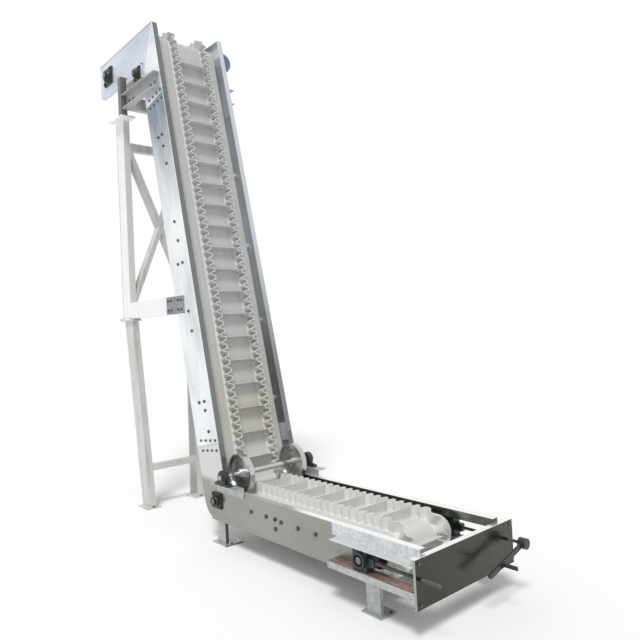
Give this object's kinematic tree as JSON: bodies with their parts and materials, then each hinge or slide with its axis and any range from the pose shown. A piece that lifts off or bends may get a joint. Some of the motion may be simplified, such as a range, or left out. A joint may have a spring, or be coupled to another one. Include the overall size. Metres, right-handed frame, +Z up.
{
  "type": "sidewall belt conveyor",
  "caption": "Steep sidewall belt conveyor with level loading run, bend, riser and level head run, hold-down wheels, screw take-up tail and steel rear frame.",
  "frame": {"origin": "on the floor, in the plane midway between the side plates, at the middle of the four anchor holes of the loading run's feet", "axes": "+X along the level loading run to the tail end plate, +Y across the belt to the drive side, +Z up"},
  "size_m": [4.0858, 1.052, 4.511],
  "materials": {
    "sheet": "brushed stainless sheet",
    "galvanised": "galvanised, mottled",
    "painted": "off-white paint",
    "casting": "dark green-black enamel",
    "machined": "turned steel",
    "belt": "matt white-grey",
    "drive": "blue-violet enamel",
    "dark_sheet": "dark semi-mirror sheet",
    "lever": "dark bare steel"
  },
  "bodies": {
    "frame": {"near_loading_plate": "sheet", "far_loading_plate": "sheet", "near_riser_plate": "sheet", "far_riser_plate": "sheet", "near_head_plate": "sheet", "far_head_plate": "sheet", "splice_plates": "sheet", "cross_ties": "galvanised", "end_plate": "dark_sheet", "upper_guides": "galvanised", "lower_guides": "galvanised", "bend_feet": "galvanised", "tail_feet": "galvanised", "wheel_brackets": "sheet", "wheel_bearings": "casting", "corner_bearings": "casting", "snub_bearings": "casting", "snub_brackets": "sheet", "head_bearings": "casting", "head_beams": "painted", "head_stubs": "painted", "upper_posts": "painted", "tie_beams": "painted", "gusset_plates": "galvanised", "rear_legs": "painted", "frame_beams": "painted", "x_brace": "painted", "gear_unit": "drive", "motor": "drive", "belt": "belt", "sidewalls": "belt", "cleats": "belt", "head_drum": "machined", "bend_drums": "machined", "snub_wheels": "machined"},
    "take_up": {"take_up_blocks": "casting", "tail_drum": "machined"},
    "near_screw": {"near_screw": "machined"},
    "far_screw": {"far_screw": "machined", "tension_lever": "lever"},
    "wheel_set": {"hold_down_wheels": "machined"}
  },
  "joints": [
    {"name": "wheel_spin", "type": "hinge", "parent": "frame", "child": "wheel_set", "pos_m": [-0.68444, 0, 0.568], "axis": [0, 1, 0], "continuous": true},
    {"name": "take_up_slide", "type": "slide", "parent": "frame", "child": "take_up", "axis": [1, 0, 0], "range_m": [-0.06, 0]},
    {"name": "near_screw_turn", "type": "hinge", "parent": "take_up", "child": "near_screw", "pos_m": [1.0945, -0.42, 0.325], "axis": [1, 0, 0], "continuous": true},
    {"name": "far_screw_turn", "type": "hinge", "parent": "take_up", "child": "far_screw", "pos_m": [1.0945, 0.42, 0.325], "axis": [1, 0, 0], "range_deg": [-245, 38]}
  ]
}
